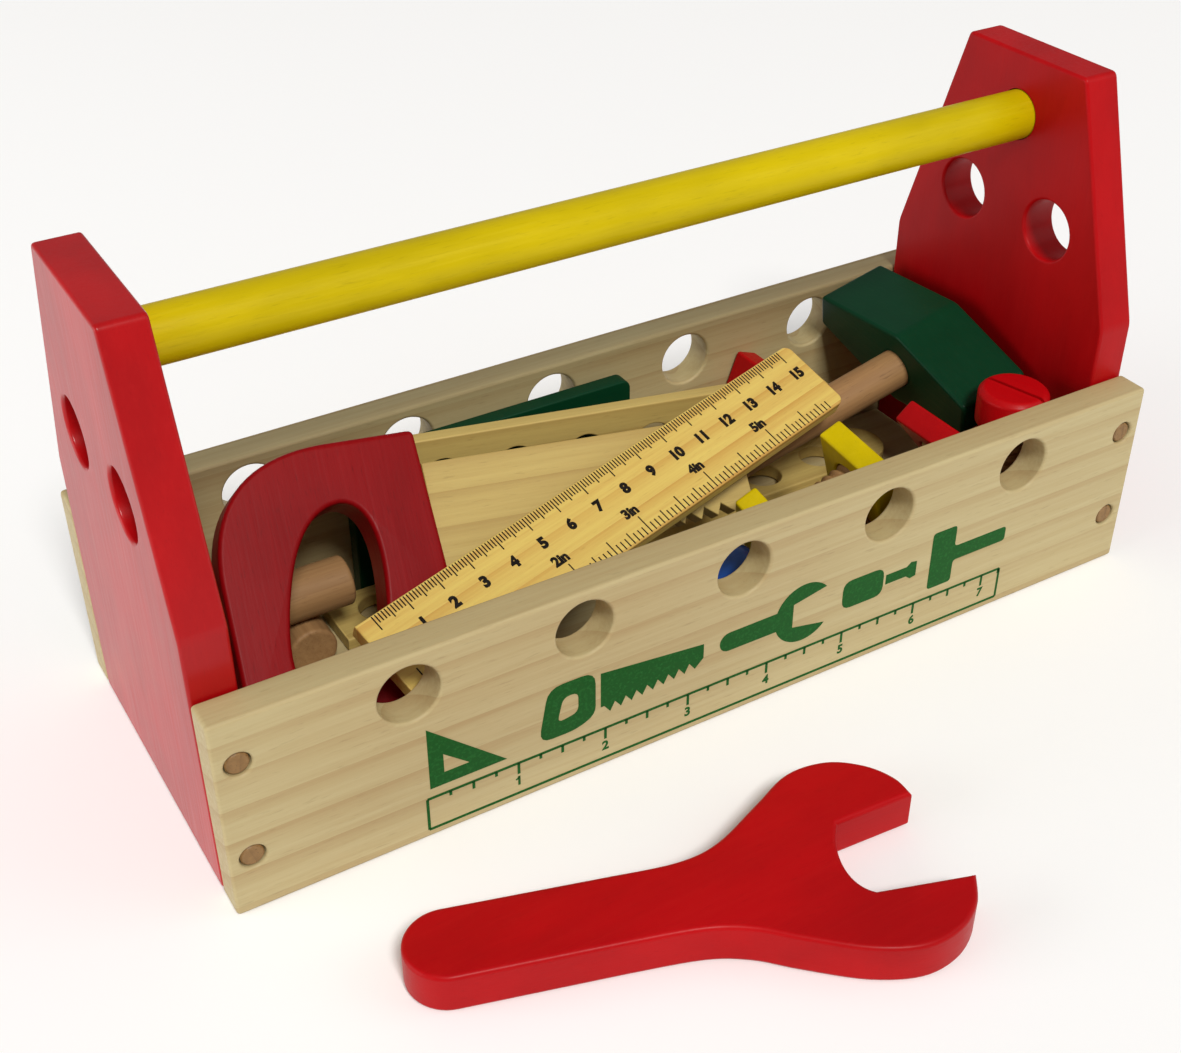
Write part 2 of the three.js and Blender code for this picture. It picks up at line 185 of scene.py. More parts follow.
def inset(points, distance):
    """The outline moved to its left by a distance, corner by corner."""
    out = []
    for i, p in enumerate(points):
        a, b = points[i - 1], points[(i + 1) % len(points)]
        d1, d2 = Vector((p[0] - a[0], p[1] - a[1])), Vector((b[0] - p[0], b[1] - p[1]))
        d1.normalize()
        d2.normalize()
        n1, n2 = Vector((-d1.y, d1.x)), Vector((-d2.y, d2.x))
        move = (n1 + n2) / max(0.4, 1 + n1.dot(n2)) * distance
        out.append((p[0] + move.x, p[1] + move.y))
    return out


# ---- Meshes ----
def mesh_of(name, verts, faces):
    mesh = bpy.data.meshes.new(name)
    mesh.from_pydata([Vector(v) * MM for v in verts], [], faces)
    mesh.validate()
    mesh.shade_smooth()
    mesh.set_sharp_from_angle(angle=radians(40))
    return mesh


def plank(name, outline, holes, z0, z1, edge, steps=3):
    """A plank of an outline with holes, from z0 to z1, with all its edges rounded over."""
    contours = [outline if signed_area(outline) > 0 else outline[::-1]]
    contours += [h if signed_area(h) < 0 else h[::-1] for h in holes]
    turns = [radians(90 * k / steps) for k in range(steps + 1)]
    rings = [(edge * (1 - sin(t)), z0 + edge * (1 - cos(t))) for t in turns]
    rings += [(edge * (1 - cos(t)), z1 - edge * (1 - sin(t))) for t in turns]
    verts, faces = [], []
    for contour in contours:
        n, first = len(contour), len(verts)
        for depth, z in rings:
            verts += [(x, y, z) for x, y in inset(contour, depth)]
        for r in range(len(rings) - 1):
            a, b = first + r * n, first + (r + 1) * n
            faces += [(a + i, a + (i + 1) % n, b + (i + 1) % n, b + i) for i in range(n)]
    flat = [[Vector((x, y, 0)) for x, y in inset(c, edge)] for c in contours]
    bottom, top, start = [], [], 0
    for contour in contours:
        n = len(contour)
        bottom += range(start, start + n)
        top += range(start + (len(rings) - 1) * n, start + len(rings) * n)
        start += len(rings) * n
    corners = [p for loop in flat for p in loop]
    for a, b, c in tessellate_polygon(flat):
        if (corners[b] - corners[a]).cross(corners[c] - corners[a]).z < 0:
            b, c = c, b
        faces += [(top[a], top[b], top[c]), (bottom[a], bottom[c], bottom[b])]
    return mesh_of(name, verts, faces)


def stacked(name, rings):
    """A closed body of rings along Z: the rings are lists of as many points each."""
    n = len(rings[0])
    faces = []
    for k in range(len(rings) - 1):
        a, b = k * n, (k + 1) * n
        faces += [(a + i, a + (i + 1) % n, b + (i + 1) % n, b + i) for i in range(n)]
    last = (len(rings) - 1) * n
    faces += [tuple(range(n))[::-1], tuple(last + i for i in range(n))]
    return mesh_of(name, [p for ring in rings for p in ring], faces)


def rounded_profile(profile, soft):
    """A turned profile closed to the axis at both ends, with its corners rounded off."""
    closed = [(0, profile[0][1])] + list(profile) + [(0, profile[-1][1])]
    line = []
    for a, p, b in zip(closed, closed[1:], closed[2:]):
        a, p, b = Vector(a), Vector(p), Vector(b)
        cut_a, cut_b = min(soft, (a - p).length * 0.49), min(soft, (b - p).length * 0.49)
        start, end = p + (a - p).normalized() * cut_a, p + (b - p).normalized() * cut_b
        line += [start * (1 - t) ** 2 + p * 2 * t * (1 - t) + end * t * t for t in (0, 0.25, 0.5, 0.75, 1)]
    return line


def turned(name, profile, soft=0.8, segments=64):
    """A turned body of (radius, height) points; soft is how far its corners are rounded."""
    line = rounded_profile(profile, soft) if soft else profile
    return stacked(name, [[(x, y, z) for x, y in circle(0, 0, max(r, 0.01), segments)] for r, z in line])


def threaded(name, z0, z1):
    """A rod with one helical ridge, which fades out at both ends."""
    def radius_at(angle, z):
        phase = (z / ROD["pitch"] - angle / (2 * pi)) % 1
        ridge = (0.5 - 0.5 * cos(2 * pi * phase)) ** 0.8
        ends = min(1, (z - z0) / fade, (z1 - z) / fade)
        return ROD["r"] - ROD["depth"] * (1 - ridge * max(0, ends)) - 0.5 * max(0, 0.5 - ends)

    fade, sides, steps_per_turn = 1.2, 40, 12
    angles = [2 * pi * i / sides for i in range(sides)]
    steps = round((z1 - z0) / ROD["pitch"] * steps_per_turn)
    rings = []
    for z in (z0 + (z1 - z0) * i / steps for i in range(steps + 1)):
        rings.append([(radius_at(a, z) * cos(a), radius_at(a, z) * sin(a), z) for a in angles])
    return stacked(name, rings)


def carved(mesh, cutters):
    """The mesh with the cutter meshes taken out of it."""
    body = bpy.data.objects.new("carved", mesh)
    bpy.context.scene.collection.objects.link(body)
    tools = []
    for cutter, matrix in cutters:
        tool = bpy.data.objects.new("cutter", cutter)
        tool.matrix_world = matrix
        bpy.context.scene.collection.objects.link(tool)
        tools.append(tool)
        cut = body.modifiers.new("cut", "BOOLEAN")
        cut.object, cut.operation, cut.solver = tool, "DIFFERENCE", "EXACT"
    bpy.context.view_layer.update()
    result = bpy.data.meshes.new_from_object(body.evaluated_get(bpy.context.evaluated_depsgraph_get()))
    for o in [body] + tools:
        bpy.data.objects.remove(o)
    result.shade_smooth()
    result.set_sharp_from_angle(angle=radians(40))
    return result


# ---- Materials ----
def linear(colour):
    """A 0xRRGGBB colour as linear RGBA."""
    parts = [(colour >> s & 255) / 255 for s in (16, 8, 0)]
    return [c / 12.92 if c <= 0.04045 else ((c + 0.055) / 1.055) ** 2.4 for c in parts] + [1]


class Shader:
    """A material being built node by node."""

    def __init__(self, name):
        self.material = bpy.data.materials.new(name)
        self.material.use_nodes = True
        self.tree = self.material.node_tree
        self.surface = self.tree.nodes["Principled BSDF"]

    def node(self, kind, settings=None, **inputs):
        node = self.tree.nodes.new("ShaderNode" + kind)
        for key, value in (settings or {}).items():
            setattr(node, key, value)
        for key, value in inputs.items():
            self.set(node, key.replace("_", " "), value)
        return node

    def set(self, node, key, value):
        socket = node.inputs[int(key)] if key.isdigit() else node.inputs[key]
        if isinstance(value, bpy.types.NodeSocket):
            self.tree.links.new(value, socket)
        else:
            socket.default_value = value

    def coordinates(self, stretch, offset):
        """Object coordinates in mm, squeezed along the grain."""
        place = self.node("TexCoord").outputs["Object"]
        scale = [s / MM for s in stretch]
        return self.node("Mapping", Vector=place, Scale=scale, Location=offset).outputs["Vector"]

    def noise(self, vector, scale, detail=3, roughness=0.55):
        node = self.node("TexNoise", Vector=vector, Scale=scale, Detail=detail, Roughness=roughness)
        return node.outputs["Fac"]

    def levels(self, value, low, high, to_low=0, to_high=1):
        node = self.node("MapRange", Value=value)
        for key, number in (("From Min", low), ("From Max", high), ("To Min", to_low), ("To Max", to_high)):
            node.inputs[key].default_value = number
        return node.outputs["Result"]

    def mixed(self, factor, a, b):
        node = self.node("Mix", {"data_type": "RGBA"})
        self.set(node, "0", factor)
        self.set(node, "6", a)
        self.set(node, "7", b)
        return node.outputs[2]

    def math(self, operation, a, b):
        node = self.node("Math", {"operation": operation})
        self.set(node, "0", a)
        self.set(node, "1", b)
        return node.outputs[0]

    def bump(self, height, distance):
        node = self.node("Bump", Height=height, Distance=distance * MM, Strength=0.5)
        return node.outputs["Normal"]


def along(axis, squeeze):
    """Coordinate scales that draw the grain out along one axis."""
    return [squeeze if a == axis else 1 for a in "XYZ"]


def bare_wood(name, light, dark, axis="X", seed=0, period=9, rings=0.5, streaks=0.35, flecks=0.25,
              centre=(0, 60, -45), roughness=0.5):
    """Sanded wood: growth rings round a far-off heart, fine streaks and short dark flecks."""
    s = Shader(name)
    offset = [seed * 37.1, seed * 11.7, seed * 5.3]
    heart = [0 if a == axis else c for a, c in zip("XYZ", centre)]
    ring_place = s.coordinates(along(axis, 0.07), [a + 0.1 * b for a, b in zip(heart, offset)])
    wave = s.node("TexWave", {"wave_type": "RINGS", "rings_direction": axis, "wave_profile": "SAW"},
                  Vector=ring_place, Scale=2 * pi / 20 / period, Distortion=9, Detail=2)
    wave.inputs["Detail Scale"].default_value = 0.035
    ring = s.levels(wave.outputs["Fac"], 0.25, 1)
    ring = s.math("POWER", ring, 2.2)
    patch = s.noise(s.coordinates(along(axis, 0.25), offset), 0.03, 2)
    ring = s.math("MULTIPLY", ring, s.levels(patch, 0.3, 0.7, 0.35, 1))
    streak = s.noise(s.coordinates(along(axis, 0.03), offset), 0.7, 5, 0.65)
    fleck = s.noise(s.coordinates(along(axis, 0.12), offset), 1.6, 2, 0.5)
    fleck = s.levels(fleck, 0.62, 0.78)
    colour = s.mixed(s.math("MULTIPLY", ring, rings), linear(light), linear(dark))
    colour = s.mixed(s.levels(streak, 0.35, 0.75, 0, streaks), colour, linear(dark))
    deep = [c * 0.55 for c in linear(dark)[:3]] + [1]
    colour = s.mixed(s.math("MULTIPLY", fleck, flecks), colour, deep)
    s.set(s.surface, "Base Color", colour)
    s.set(s.surface, "Roughness", s.levels(streak, 0.3, 0.7, roughness - 0.06, roughness + 0.08))
    height = s.math("SUBTRACT", s.math("MULTIPLY", streak, 0.5), s.math("MULTIPLY", ring, 0.25))
    s.set(s.surface, "Normal", s.bump(height, 0.12))
    s.surface.inputs["Specular IOR Level"].default_value = 0.35
    return s.material


def lacquer(name, colour, thin, axis="X", seed=0, grain=0.3, roughness=0.4, coat=0.03):
    """Coloured lacquer over wood: the grain shows through as fine thin-paint streaks."""
    s = Shader(name)
    offset = [seed * 29.3, seed * 13.1, seed * 7.9]
    streak = s.noise(s.coordinates(along(axis, 0.035), offset), 0.9, 5, 0.7)
    cloud = s.noise(s.coordinates(along(axis, 0.4), offset), 0.045, 3)
    pores = s.levels(s.noise(s.coordinates(along(axis, 0.1), offset), 2.2, 2), 0.6, 0.75)
    mask = s.math("MULTIPLY", s.levels(streak, 0.5, 0.8), grain)
    tone = s.mixed(s.levels(cloud, 0.35, 0.65), linear(colour), [c * 0.8 for c in linear(colour)[:3]] + [1])
    tone = s.mixed(mask, tone, linear(thin))
    tone = s.mixed(s.math("MULTIPLY", pores, grain * 0.6), tone, [c * 0.3 for c in linear(colour)[:3]] + [1])
    s.set(s.surface, "Base Color", tone)
    s.set(s.surface, "Roughness", s.levels(streak, 0.3, 0.7, roughness - 0.04, roughness + 0.07))
    s.set(s.surface, "Normal", s.bump(streak, 0.09))
    s.surface.inputs["Specular IOR Level"].default_value = 0.12
    s.surface.inputs["Coat Weight"].default_value = coat
    s.surface.inputs["Coat Roughness"].default_value = 0.2
    return s.material


def ink(name, colour):
    """Screen-printed ink, slightly uneven in coverage."""
    s = Shader(name)
    cover = s.noise(s.coordinates((1, 1, 1), (3, 5, 7)), 1.1, 4, 0.6)
    paler = [min(1, c * 1.7 + 0.01) for c in linear(colour)[:3]] + [1]
    s.set(s.surface, "Base Color", s.mixed(s.levels(cover, 0.5, 0.8), linear(colour), paler))
    s.set(s.surface, "Roughness", s.levels(cover, 0.3, 0.7, 0.45, 0.6))
    s.surface.inputs["Specular IOR Level"].default_value = 0.12
    return s.material


RED, RED_THIN = 0xB2050C, 0xBA1414
STAIN, STAIN_THIN = 0x8A040A, 0x901418
YELLOW, YELLOW_THIN = 0xCDB500, 0xD4BE20
GREEN, GREEN_THIN = 0x04371F, 0x0C442A
BLUE, BLUE_THIN = 0x1A4C9E, 0x3C6CB8
PINE, PINE_DARK = 0xBCAD80, 0x9C7A4A
STRIP_PINE, STRIP_DARK = 0xC3AB64, 0x9C7A3E
BEECH, BEECH_DARK = 0xA27C50, 0x7A5531
PIN_WOOD, PIN_DARK = 0x8E6C40, 0x5E4226


def pine(name, seed):
    return bare_wood(name, PINE, PINE_DARK, "X", seed)


def strip_pine(name, seed, **looks):
    return bare_wood(name, STRIP_PINE, STRIP_DARK, "X", seed, period=6, **looks)


def beech(name, seed):
    """Beech with its grain along Z, the axis of the turned pieces."""
    return bare_wood(name, BEECH, BEECH_DARK, "Z", seed, period=3.2, rings=0.25, streaks=0.5, flecks=0.55,
                     centre=(9, 14, 11), roughness=0.6)


def red(name, seed, axis="X", **looks):
    return lacquer(name, RED, RED_THIN, axis, seed, **looks)


# ---- Pieces ----
def piece(mesh, matrix, material, slot, *nodes):
    """A piece that rides on the body of the given CAD nodes."""
    o = bpy.data.objects.new(mesh.name, mesh)
    bpy.context.scene.collection.objects.link(o)
    o.matrix_world = matrix
    o.data.materials.clear()
    o.data.materials.append(material)
    normals = o.modifiers.new("flat faces", "WEIGHTED_NORMAL")
    normals.keep_sharp = True
    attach(o, frame["nodes"][nodes[0]]["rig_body"])
    return o


def stand_for(mesh, matrix, material, slot, *nodes):
    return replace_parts(piece(mesh, matrix, material, slot, *nodes), *nodes)


def box_pieces():
    pins = [circle(s * PIN["x"], z, PIN["r"] + GAP, 32) for s in (-1, 1) for z in PIN["z"]]
    side = rectangle(-HALF_LENGTH, 0, HALF_LENGTH, SIDE["height"])
    side = softened(side, 1.2)
    for name, turn, mirror, seed in (("front", Matrix.Identity(4), 1, 1), ("back", HALF_TURN, -1, 4)):
        centres = [mirror * (SIDE["first_hole"] + i * SIDE["pitch"]) for i in range(SIDE["holes"])]
        holes = [circle(x, SIDE["hole_z"], SIDE["hole_r"], 64) for x in centres]
        board = plank(name + "_board", side, holes + pins, 0, SIDE["thick"], 0.9)
        stand_for(board, turn @ FRONT_PANEL, pine("pine_" + name, seed), "pine_panel", "side_panel_" + name)

    half, top = INNER_Y - GAP, END["top"] / 2
    end = [(-half, 0), (half, 0), (half, END["shoulder_z"]), (top, HEIGHT), (-top, HEIGHT),
           (-half, END["shoulder_z"])]
    bores = [circle(s * END["hole_y"], END["hole_z"], END["hole_r"], 64) for s in (-1, 1)]
    dowel_r = (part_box("handle_dowel")[1].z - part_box("handle_dowel")[0].z) / 2 / MM
    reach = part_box("handle_dowel")[1].x / MM
    socket = turned("socket", [(dowel_r + GAP, -5), (dowel_r + GAP, reach + GAP - INNER_X)], 0)
    drill = turned("drill", [(PIN["r"] + GAP, -PIN["depth"]), (PIN["r"] + GAP, 5)], 0, 24)
    cutters = [(socket, at(0, DOWEL_Z, 0))]
    for z in PIN["z"]:
        for s in (-1, 1):
            cutters.append((drill, at(s * half, z, PIN["x"] - INNER_X, yaw=90 - 90 * s, pitch=90)))
    for name, side_turn, node in (("right", Matrix.Identity(4), "end_panel_right"),
                                  ("left", HALF_TURN, "end_panel_left")):
        board = plank(name + "_end_board", softened(end, 1.5), bores, 0, END["thick"], 0.9)
        board = carved(board, cutters)
        board.name = name + "_end_board"
        paint = red("red_end_" + name, len(name), "Y", coat=0.35 if name == "left" else 0.03)
        stand_for(board, side_turn @ RIGHT_PANEL, paint, "red_paint", node)

    x, y = INNER_X - GAP, INNER_Y - GAP
    floor = plank("floor_board", rectangle(-x, -y, x, y), [], 0, BASE_TOP, 0.4)
    stand_for(floor, Matrix.Identity(4), pine("pine_floor", 7), "pine_panel", "base_panel")
    bar = turned("carrying_bar", [(dowel_r, -reach), (dowel_r, reach)], 0.9, 72)
    paint = lacquer("yellow_bar", YELLOW, YELLOW_THIN, "Z", 2, grain=0.35, roughness=0.38)
    stand_for(bar, at(0, 0, DOWEL_Z, pitch=90), paint, "yellow_paint", "handle_dowel")
    for node in frame["nodes"]:
        if node.startswith("pin_"):
            wood = bare_wood("wood_" + node, PIN_WOOD, PIN_DARK, "Y", len(node), period=3, flecks=0.8)
            frame["nodes"][node].data.materials.clear()
            frame["nodes"][node].data.materials.append(wood)


def saw_pieces():
    thick = 12
    outline = [(-1.5, 0)] + bezier((-1.5, 0), (-0.5, 0), (0.2, -0.5), (0.3, -1.6), 5) + [(1.4, -44)]
    for curve in (((1.4, -44), (1.6, -53), (-9, -55), (-15, -59)),
                  ((-15, -59), (-19, -62), (-17, -66), (-14.5, -69)),
                  ((-14.5, -69), (-12, -73), (-15, -77.5), (-21, -78))):
        outline += bezier(*curve)
    outline += [(-48, -78)] + bezier((-48, -78), (-53.7, -77.3), (-56.7, -74), (-57, -68), 10) + [(-57, -32)]
    outline += bezier((-57, -32), (-56.5, -12), (-46, -1), (-25, -0.2), 20)
    grip = []
    for curve in (((-23.2, -16.2), (-32, -16.6), (-37, -26), (-40, -36)),
                  ((-40, -36), (-44, -49), (-46, -64), (-35.5, -66)),
                  ((-35.5, -66), (-26, -66.5), (-19, -56), (-16.8, -44)),
                  ((-16.8, -44), (-14.5, -31), (-14.5, -17), (-23.2, -16.2))):
        grip += bezier(*curve)
    handle = plank("saw_grip", outline, [grip], -thick, 0, 1.3)
    stain = lacquer("saw_stain", STAIN, STAIN_THIN, "Y", 5, grain=0.6, roughness=0.42, coat=0)
    stand_for(handle, SAW, stain, "red_stain", "saw_handle")

    root, tip, top, depth, tip_depth, tooth, teeth = 1.2, 96, 8.6, 33, 27, 3, 16
    bottom, drop = top + depth, (depth - tip_depth) / (tip - root)
    blade = [(root + GAP, -top), (root + GAP, -bottom)]
    pitch = (tip - root - 8) / teeth
    for i in range(teeth):
        u = root + 3 + i * pitch
        v = bottom - (u - root) * drop
        blade += [(u, -v + tooth), (u + pitch * 0.7, -v)]
    blade += [(tip, -bottom + (tip - root) * drop + tooth), (tip, -top - 3), (tip - 4, -top)]
    mesh = plank("saw_blade_board", blade, [], -8.5, -3.5, 0.4)
    stand_for(mesh, SAW, strip_pine("pine_blade", 3, rings=0.6), "pine_strip", "saw_blade")


def hammer_pieces():
    front, back, middle, end, width = 30.4, 35.5, 13.2, 5.6, 24
    stick_r, stick_length, socket = 6, 146, 18
    outline = [(-front, -end), (0, -middle), (back, -end), (back, end), (0, middle), (-front, end)]
    head = plank("hammer_head_block", softened(outline, 1.5), [], 0, width, 1.1)
    bore = turned("bore", [(stick_r + GAP, -socket), (stick_r + GAP, socket)], 0)
    head = carved(head, [(bore, Matrix.Identity(4))])
    head.name = "hammer_head_block"
    paint = lacquer("green_head", GREEN, GREEN_THIN, "X", 1, grain=0.2, roughness=0.36)
    turn = Matrix.Rotation(pi / 2, 4, "Z") @ Matrix.Rotation(pi / 2, 4, "X")
    stand_for(head, HAMMER @ turn, paint, "green_paint", "hammer_head")
    handle = turned("hammer_stick", [(stick_r, -stick_length), (stick_r, socket - GAP)], 1.0)
    stand_for(handle, HAMMER @ Matrix.Rotation(pi / 2, 4, "Y"), beech("beech_hammer", 2),
              "beech_dowel", "hammer_handle")


def square_nut(name, size=NUT["size"]):
    half = size / 2
    outline = softened(rectangle(-half, -half, half, half), 1)
    hole = circle(0, 0, ROD["r"] + GAP, 40)
    return plank(name, outline, [hole], -NUT["thick"] / 2, NUT["thick"] / 2, 0.8)


def bolt_head(name):
    r, thick = BOLT_HEAD["r"], BOLT_HEAD["thick"]
    head = turned(name, [(r - 0.2, 0), (r, thick - 1.4), (r - 1.5, thick)], 0.7)
    half = BOLT_HEAD["slot"] / 2
    slot = plank("slot", rectangle(-2 * r, -half, 2 * r, half), [], thick - BOLT_HEAD["slot_depth"] / 2,
                 thick + 5, 0.2)
    head = carved(head, [(slot, Matrix.Identity(4))])
    head.name = name
    return head


def bolt_pieces():
    stand_for(bolt_head("corner_head"), CORNER_BOLT, red("red_corner_head", 1), "red_paint",
              "corner_bolt_head")
    stand_for(threaded("corner_thread", BASE_TOP + GAP - CORNER_SEAT, -GAP), CORNER_BOLT,
              beech("beech_corner", 4), "beech_dowel", "corner_bolt_rod")
    head_at, end = -34, 4
    flip = Matrix.Translation((0, 0, head_at * MM)) @ Matrix.Rotation(pi, 4, "X")
    stand_for(bolt_head("long_head"), LONG_BOLT @ flip, red("red_long_head", 2), "red_paint",
              "long_bolt_head")
    stand_for(threaded("long_thread", head_at + GAP, end), LONG_BOLT, beech("beech_long", 5), "beech_dowel",
              "long_bolt_rod")
    stand_for(square_nut("red_square_nut"), LONG_BOLT, red("red_nut_paint", 3), "red_paint", "red_nut")
    head_at, end = -31.7, 4
    for name, node, z, turn in (("yellow_square_nut", "yellow_nut", 0, 11),
                                ("yellow_head", "yellow_bolt_head", head_at, 22)):
        paint = lacquer("paint_" + name, YELLOW, YELLOW_THIN, "X", z, grain=0.3)
        spot = Matrix.Translation((0, 0, z * MM)) @ Matrix.Rotation(radians(turn), 4, "Z")
        stand_for(square_nut(name), YELLOW_BOLT @ spot, paint, "yellow_paint", node)
    stand_for(threaded("yellow_thread", head_at - NUT["thick"] / 2, end), YELLOW_BOLT,
              beech("beech_yellow", 6), "beech_dowel", "yellow_bolt_rod")
    stand_for(square_nut("back_square_nut", BACK_NUT_SIZE), BACK_NUT, red("red_back_nut", 4),
              "red_paint", "back_nut")


def driver_pieces():
    half, shaft_r, shaft_length = 23, 4, 40
    profile = [(6, -half), (10, -half + 4), (10, half - 14), (7.4, half - 8), (7.4, half - 4), (6, half)]
    handle = turned("driver_grip", profile, 2.2)
    paint = lacquer("blue_grip", BLUE, BLUE_THIN, "Z", 1, grain=0.15, roughness=0.16, coat=0.6)
    stand_for(handle, DRIVER, paint, "blue_gloss", "screwdriver_handle")
    shaft = turned("driver_shaft", [(shaft_r, half + GAP), (shaft_r, half + shaft_length)], 0.8, 48)
    stand_for(shaft, DRIVER, beech("beech_driver", 7), "beech_dowel", "screwdriver_shaft")


def strip_mesh(name, length, width, thick, holes, first):
    """A perforated strip with one round end, from the X axis towards -Y; first is the first hole's x."""
    outline = [(0, -width)] + arc(length - width / 2, -width / 2, width / 2, -90, 90, 24) + [(0, 0)]
    bores = [circle(first + i * STRIP["pitch"], -width / 2, STRIP["hole_r"], 48) for i in range(holes)]
    return plank(name, outline, bores, 0, thick, 0.6)


def strip_pieces():
    upright = strip_mesh("upright_strip_board", 148, STRIP["width"], STRIP["thick"], 6, 18)
    stand_for(upright, UPRIGHT_STRIP, strip_pine("pine_upright", 9), "pine_strip",
              "perforated_strip_upright")
    for side, holes in (("right", 4), ("left", 3)):
        node = "perforated_strip_" + side
        low, high = (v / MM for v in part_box(node))
        length, width, thick = high - low
        board = strip_mesh(side + "_strip_board", length, width, thick, holes, 14)
        stand_for(board, at(low.x, high.y, low.z), strip_pine("pine_strip_" + side, holes), "pine_strip",
                  node)
    low, high = (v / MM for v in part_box("green_plate"))
    length, thick, height = high - low
    corner = 3
    outline = [(0, -height), (length, -height)] + arc(length - corner, -corner, corner, 0, 90) + [(0, 0)]
    plate = plank("green_board", outline, [], 0, thick, 0.6)
    paint = lacquer("green_plate_paint", GREEN, GREEN_THIN, "X", 3, grain=0.2)
    stand_for(plate, at(low.x, high.y, high.z, roll=90), paint, "green_paint", "green_plate")


def peg_pieces():
    for name, where, length, seed in (("long_peg", LONG_PEG, 50, 8), ("short_peg", SHORT_PEG, 30, 9)):
        peg = turned(name + "_wood", [(PEG_R, -length / 2), (PEG_R, length / 2)], 1.2)
        stand_for(peg, where, beech("beech_" + name, seed), "beech_dowel", name)


def wrench_piece():
    h = 10.4
    lower = [(40, -11), (57, -11.8), (67.4, -14.7), (77.2, -20.2), (90.8, -26.9), (102.9, -29.3),
             (112.4, -26.5), (119, -20.5), (122.6, -12.5)]
    upper = [(119.2, 15.7), (117.5, 22), (112, 28.2), (103, 32), (92, 30.4), (81, 22.4), (68, 13),
             (57, 9.6), (40, 9.6)]
    outline = arc(0.6, 0, h, 90, 270, 24) + [(40, -11)] + spline(lower) + [(98.2, -11.3)]
    outline += bezier((98.2, -11.3), (93, -8), (92.5, 2), (97.8, 11.2), 20) + [(119.2, 15.7)] + spline(upper)
    mesh = plank("wrench_board", outline, [], 0, 11.2, 1.2, steps=4)
    mesh.transform(WRENCH)  # placed in the mesh, so that its bounding box is as tight as the solid's
    stand_for(mesh, Matrix.Identity(4), red("red_wrench", 6), "red_paint", "wrench")


# ---- Printed marks ----
class Print:
    """Flat marks on the XY plane of a frame, gathered into one thin piece."""

    THICK = 0.06  # how far the ink stands proud of the surface
    SUNK = 0.02
    DIGIT = 0.7  # height of a digit as a share of the font's size

    def __init__(self, name):
        self.name, self.verts, self.faces = name, [], []

    def shape(self, outline, holes=()):
        """A filled outline with holes."""
        mesh = plank("mark", outline, list(holes), -self.SUNK, self.THICK, 0.005, steps=1)
        first = len(self.verts)
        self.verts += [tuple(v.co / MM) for v in mesh.vertices]
        self.faces += [tuple(first + i for i in p.vertices) for p in mesh.polygons]
        bpy.data.meshes.remove(mesh)

    def bar(self, x0, y0, x1, y1):
        self.shape(rectangle(min(x0, x1), min(y0, y1), max(x0, x1), max(y0, y1)))

    def line(self, a, b, width):
        """A straight stroke between two points."""
        a, b = Vector(a), Vector(b)
        side = (b - a).normalized().orthogonal() * width / 2
        self.shape([tuple(a - side), tuple(b - side), tuple(b + side), tuple(a + side)])

    def number(self, text, x, y, height, bold):
        """A printed number, centred on x, y."""
        curve = bpy.data.curves.new("number", "FONT")
        curve.body, curve.size, curve.offset = text, height / self.DIGIT * MM, bold * height * MM
        curve.extrude, curve.align_x, curve.align_y = self.THICK * MM, "CENTER", "CENTER"
        curve.resolution_u = 3
        o = bpy.data.objects.new("number", curve)
        bpy.context.scene.collection.objects.link(o)
        bpy.context.view_layer.update()
        mesh = bpy.data.meshes.new_from_object(o.evaluated_get(bpy.context.evaluated_depsgraph_get()))
        first = len(self.verts)
        for v in mesh.vertices:
            p = v.co / MM
            self.verts.append((p.x + x, p.y + y, min(p.z, self.THICK)))
        self.faces += [tuple(first + i for i in p.vertices) for p in mesh.polygons]
        bpy.data.objects.remove(o)
        bpy.data.curves.remove(curve)
        bpy.data.meshes.remove(mesh)

    def finish(self, matrix, material, slot, node):
        return piece(mesh_of(self.name, self.verts, self.faces), matrix, material, slot, node)


